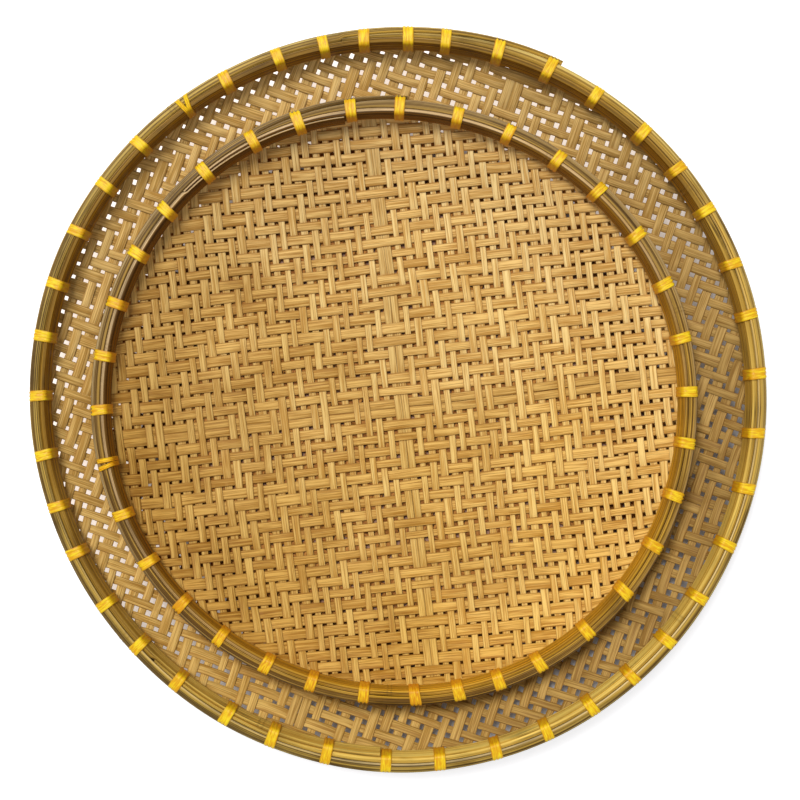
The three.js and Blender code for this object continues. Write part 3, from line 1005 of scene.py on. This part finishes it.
def splint_material(name, tones, patch, seam_and_shade_tone, half_width, toward, amount, covered=None):
    """Split bamboo of a mat: fibres, seams, edges darkened partly as the split's own edge and partly as
    painted shade in the gaps, and painted shade where a splint dips under.
    tones are a light and a dark one toward +Y, then the warmer ones toward -Y. patch is a second pair, in
    patches, toward one side and on the double splint. covered is the pair of painted shade under the other
    tray."""
    material, tree, shader = start_material(name, 0.16)
    number = attribute(tree, "splint")
    share = uneven(tree, 0.045, 0.9, toward, amount).at_least(attribute(tree, "spine") * 0.35)
    warmth = uneven(tree, 0.08, 0.8, (0.0, -2.6), 0.5)
    light, dark = (
        mix_colours(tree, share, mix_colours(tree, warmth, tones[tone], tones[tone + 2]), patch[tone])
        for tone in (0, 1)
    )
    # Painted shade on the large mat where the small tray lies over it, shifted so it shows beside the small
    # rim toward the lower left.
    if covered:
        x, y, _ = object_point(tree)
        x, y = x + UNDER_TRAY_SHADE_SHIFT, y + UNDER_TRAY_SHADE_SHIFT
        under = (x * x + y * y).math("SQRT").eased(*UNDER_TRAY_SHADE_EDGE)
        light, dark = (mix_colours(tree, under, *pair) for pair in zip((light, dark), covered))
    fibres = use_group(tree, FIBRES, {
        "Light": light, "Dark": dark, "Number": number, "Run": 38.0, "Streaks": 600.0, "Lines": 1800.0,
        "Contrast": 1.5, "Variation": 0.45,
    })
    along, across = strip_map(tree)
    drift = noise_at(tree, along * 16.0, number * 91.0, 0.0)
    seam_place = ((number * 3.7).math("FRACT") - 0.5) * half_width + (drift - 0.5) * half_width
    seam = abs(across - seam_place).eased(0.00030, 0.00008) * drift.eased(0.42, 0.52)
    # Edges are darker partly as the split's own edge and partly as painted shade in the gaps; dip is painted
    # shade where a splint runs under a crossing one.
    edge = abs(across).eased(half_width * 0.74, half_width)
    dip = attribute(tree, "level").eased(0.5, -0.9)
    shade = (seam * 0.40).at_least(edge * 0.50).at_least(dip * 0.08)
    base = mix_colours(tree, shade, fibres["Color"], seam_and_shade_tone)
    dress(tree, shader, base, Field(tree, fibres["Height"]), 0.00016, 0.62)
    return material


def lath_material(name, skin, cut, cut_from, line):
    """A hoop's lath: its skin, the cut face that shows on top, a painted highlight on the crest, splits and
    knots.
    skin and cut are a light and a dark tone, then those toward one side of the tray, that side and an amount.
    cut_from is where the one goes over into the other. line is the painted highlight on the crest: its tone,
    where it starts and ends from the skin to the cut face, its side and its amount."""
    material, tree, shader = start_material(name, 0.15)
    across = attribute(tree, "cut_edge")
    edge = across.eased(cut_from, cut_from + 0.3)
    shares = [uneven(tree, 0.06, 1.1, face[4], face[5]) for face in (skin, cut)]
    light, dark = (
        mix_colours(tree, edge, mix_colours(tree, shares[0], skin[tone], skin[tone + 2]),
                    mix_colours(tree, shares[1], cut[tone], cut[tone + 2]))
        for tone in (0, 1)
    )
    fibres = use_group(tree, FIBRES, {
        "Light": light, "Dark": dark, "Number": 0.5, "Run": 4.0, "Streaks": 620.0, "Lines": 1500.0,
        "Contrast": 2.0, "Variation": 0.0,
    })
    height = Field(tree, fibres["Height"])
    # Painted highlight along the crest, stronger toward one side of the tray and where the fibres stand high.
    highlight_tone, highlight_start, highlight_end, highlight_toward, highlight_amount = line
    crest = across.eased(highlight_start, highlight_start + 0.08) * across.eased(highlight_end, highlight_end - 0.08)
    crest = crest * uneven(tree, 0.05, 0.8, highlight_toward, highlight_amount) * (height * 0.6 + 0.5).at_most(1.0)
    base = mix_colours(tree, crest, fibres["Color"], highlight_tone)
    along, around = strip_map(tree)
    grain = noise_at(tree, along * 7.0, around * 380.0, 3.0, 2.0)
    split = abs(grain - 0.5).eased(0.075, 0.02) * uneven(tree, 0.03, 2.6, (0.0, 0.0), 0.30)
    split_tone, knot_tone = colours((54, 32, 8), (104, 76, 34))
    base = mix_colours(tree, split * 0.8, base, split_tone)
    base = mix_colours(tree, attribute(tree, "knot") * 0.35, base, knot_tone)
    dress(tree, shader, base, height, 0.00030, 0.44)
    return material


def lashing_material(name, toward, amount):
    """Dyed yellow strip, fibrous and a little glossy, darker at its sides, with orange painted shade low on
    the rim's inside and an orange cast toward one side of the tray."""
    material, tree, shader = start_material(name, 0.3)
    orange = uneven(tree, 0.03, 0.7, toward, amount)
    shaded_low_tone, side_tone = colours((206, 122, 6), (176, 104, 8))
    fibres = use_group(tree, FIBRES, {
        "Light": mix_colours(tree, orange, *colours((255, 224, 34), (255, 194, 24))),
        "Dark": mix_colours(tree, orange, *colours((232, 168, 14), (218, 132, 6))),
        "Number": attribute(tree, "splint"),
        "Run": 190.0, "Streaks": 520.0, "Lines": 1900.0, "Contrast": 1.7, "Variation": 0.35,
    })
    # Painted shade: orange low on the rim's inside.
    base = mix_colours(tree, attribute(tree, "inside") * 0.7, fibres["Color"], shaded_low_tone)
    side = abs(strip_map(tree)[1]).eased(LASHING_WIDTH * 0.38, LASHING_WIDTH * 0.5)
    base = mix_colours(tree, side * 0.6, base, side_tone)
    dress(tree, shader, base, Field(tree, fibres["Height"]), 0.00018, 0.42)
    return material


# Building

splints = splints_tree()
weave_mat(SMALL, SMALL_WEAVE, splints, {
    "warps": splint_material(
        "small mat warps", colours((255, 224, 158), (214, 166, 92), (252, 210, 116), (210, 154, 62)),
        colours((192, 146, 62), (138, 96, 30)), colour(108, 54, 8), 0.0024, (-2.3, -1.0), 0.16,
    ),
    "wefts": splint_material(
        "small mat wefts", colours((248, 208, 134), (196, 146, 74), (246, 196, 98), (194, 136, 46)),
        colours((184, 136, 56), (126, 84, 22)), colour(100, 50, 6), 0.0032, (-2.3, -1.0), 0.16,
    ),
})
# The large mat's last pair of tones is painted shade under the small tray.
weave_mat(LARGE, LARGE_WEAVE, splints, {
    "warps": splint_material(
        "large mat warps", colours((252, 216, 142), (206, 162, 86), (234, 194, 112), (184, 138, 60)),
        colours((172, 136, 74), (132, 98, 48)), colour(116, 72, 18), 0.0033, (2.8, -0.6), 0.16,
        colours((198, 136, 64), (140, 86, 32)),
    ),
    "wefts": splint_material(
        "large mat wefts", colours((246, 208, 132), (198, 154, 80), (226, 186, 104), (176, 130, 56)),
        colours((164, 130, 70), (124, 92, 44)), colour(110, 68, 16), 0.0033, (2.8, -0.6), 0.16,
        colours((190, 128, 58), (132, 78, 28)),
    ),
})

# The laths' side tones are painted light and shade: the inner laths turn golden on the faces toward the
# window and dark away from it, and the outer laths' skin is paler toward the window and darker away from it.
# Each last entry is the crest's painted highlight.
HOOPS = (
    (LARGE, "outer_hoop", "large_outer_lath", lath_material(
        "large outer lath",
        (*colours((255, 230, 144), (146, 110, 46), (148, 120, 48), (64, 44, 12)), (0.0, -2.1), 0.34),
        (*colours((198, 160, 68), (76, 56, 16), (226, 178, 68), (140, 100, 24)), (1.6, 1.2), 0.24),
        0.7, (colour(255, 230, 172), 0.95, 1.10, (1.6, -2.6), 0.28),
    )),
    (LARGE, "inner_hoop", "large_inner_lath", lath_material(
        "large inner lath",
        (*colours((190, 132, 24), (106, 64, 4), (255, 224, 118), (226, 174, 66)), (1.1, -2.9), 0.21),
        (*colours((166, 124, 40), (98, 68, 15), (255, 216, 108), (212, 160, 54)), (1.4, -2.4), 0.16),
        0.10, (colour(224, 188, 124), 0.80, 1.10, (0.0, 1.6), -0.10),
    )),
    (SMALL, "outer_hoop", "small_outer_lath", lath_material(
        "small outer lath",
        (*colours((194, 162, 108), (100, 74, 40), (116, 80, 20), (44, 24, 3)), (-0.4, -2.6), 0.30),
        (*colours((184, 146, 72), (92, 66, 22), (212, 162, 44), (108, 70, 6)), (0.6, -2.5), 0.36),
        0.7, (colour(236, 208, 154), 0.55, 0.85, (-1.8, 1.2), 0.05),
    )),
    (SMALL, "inner_hoop", "small_inner_lath", lath_material(
        "small inner lath",
        (*colours((144, 90, 10), (68, 36, 1), (228, 170, 44), (164, 110, 12)), (1.6, -2.3), 0.36),
        (*colours((130, 90, 22), (74, 46, 5), (224, 172, 54), (158, 108, 16)), (1.6, -2.3), 0.36),
        0.10, (colour(250, 216, 164), 0.45, 1.10, (-1.1, 1.8), 0.36),
    )),
)
for tray, part, slot_name, material in HOOPS:
    lath = bend_lath(tray, tray[part], f"{tray['name']}_{part}_lath", material)
    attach(lath, tray["body"])
    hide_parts(f"{tray['name']}_{part}")

windings = lashings_tree()
wind_lashings(LARGE, windings, lashing_material("large yellow strip", (0.0, -0.4), -0.25), {126: 0.20})
wind_lashings(SMALL, windings, lashing_material("small yellow strip", (-0.7, -2.2), 0.04), {192: 0.10})


# Floor, lights and camera

def seen_directly(tree):
    """1 for what the camera sees, also in a mirror or through glass."""
    path = add_node(tree, "ShaderNodeLightPath").outputs
    seen = Field(tree, path["Is Camera Ray"]) + path["Is Glossy Ray"] + path["Is Transmission Ray"]
    return seen.at_most(1.0)


def make_floor():
    """A pale floor, white to the camera, that keeps the trays' shadow. To the camera it glows warm under the
    rim on the window's side, a painted pool of light that makes it paler there, and it is brown under the
    middle of the trays, painted shade."""
    corners = [(FLOOR_HALF * x, FLOOR_HALF * y, 0.0) for x, y in ((-1, -1), (1, -1), (1, 1), (-1, 1))]
    mesh = bpy.data.meshes.new("floor")
    mesh.from_pydata(corners, [], [(0, 1, 2, 3)])
    material, tree, shader = start_material("pale floor", 0.1)
    x, y, _ = object_point(tree)
    side = math.radians(PAINTED_LIGHT_AZIMUTH)
    from_middle = (x * x + y * y).math("SQRT")
    # Painted light: a warm camera-only glow on the floor under the rim on the window's side.
    near_window = (x * math.cos(side) + y * math.sin(side)).eased(-0.15, 0.09) * from_middle.eased(0.17, 0.20)
    past_rim = from_middle.eased(0.238, 0.262)
    backdrop_and_painted_light = (near_window * PAINTED_UNDER_RIM_LIGHT).at_least(past_rim * OPEN_FLOOR_GLOW) * seen_directly(tree)
    plain_tone = (0.80, 0.80, 0.82, 1.0)
    # Painted shade: the camera sees the floor brown under the middle of the trays.
    painted_shade_under_trays, ring_tone = (0.40, 0.22, 0.15, 1.0), (0.60, 0.61, 0.66, 1.0)
    shown = mix_colours(tree, from_middle.eased(0.155, 0.195), painted_shade_under_trays, ring_tone)
    feed(tree, shader.inputs["Base Color"], mix_colours(tree, seen_directly(tree), plain_tone, shown))
    shader.inputs["Roughness"].default_value = 0.9
    painted_warm_light, white_light = (1.0, 0.86, 0.75, 1.0), (1.0, 1.0, 1.0, 1.0)
    light = mix_colours(tree, from_middle.eased(0.238, 0.252), painted_warm_light, white_light)
    feed(tree, shader.inputs["Emission Color"], light)
    feed(tree, shader.inputs["Emission Strength"], backdrop_and_painted_light)
    mesh.materials.append(material)
    floor = add_object("floor", mesh)
    floor.location.z = -FLOOR_DROP
    return floor


make_floor()

world = bpy.data.worlds.new("bright room")
bpy.context.scene.world = world
world.use_nodes = True
background = world.node_tree.nodes["Background"]
background.inputs["Color"].default_value = (1.0, 1.0, 1.0, 1.0)
feed(
    world.node_tree, background.inputs["Strength"],
    seen_directly(world.node_tree) * (1.0 - ROOM_LIGHT) + ROOM_LIGHT,
)

window = bpy.data.lights.new("window", "SUN")
window.energy = WINDOW_LIGHT
window.angle = WINDOW_WIDTH
window.color = WINDOW_COLOUR
lamp = add_object("window", window)
azimuth, elevation = math.radians(WINDOW_AZIMUTH), math.radians(WINDOW_ELEVATION)
toward_window = Vector((
    math.cos(azimuth) * math.cos(elevation), math.sin(azimuth) * math.cos(elevation), math.sin(elevation),
))
lamp.rotation_mode = "QUATERNION"
lamp.rotation_quaternion = toward_window.to_track_quat("Z", "Y")

view = bpy.data.cameras.new("camera")
view.sensor_width = 36
view.lens = CAMERA_LENS
camera = add_object("camera", view)
camera.location = CAMERA_PLACE
bpy.context.scene.camera = camera

bpy.context.scene.view_settings.view_transform = "Standard"
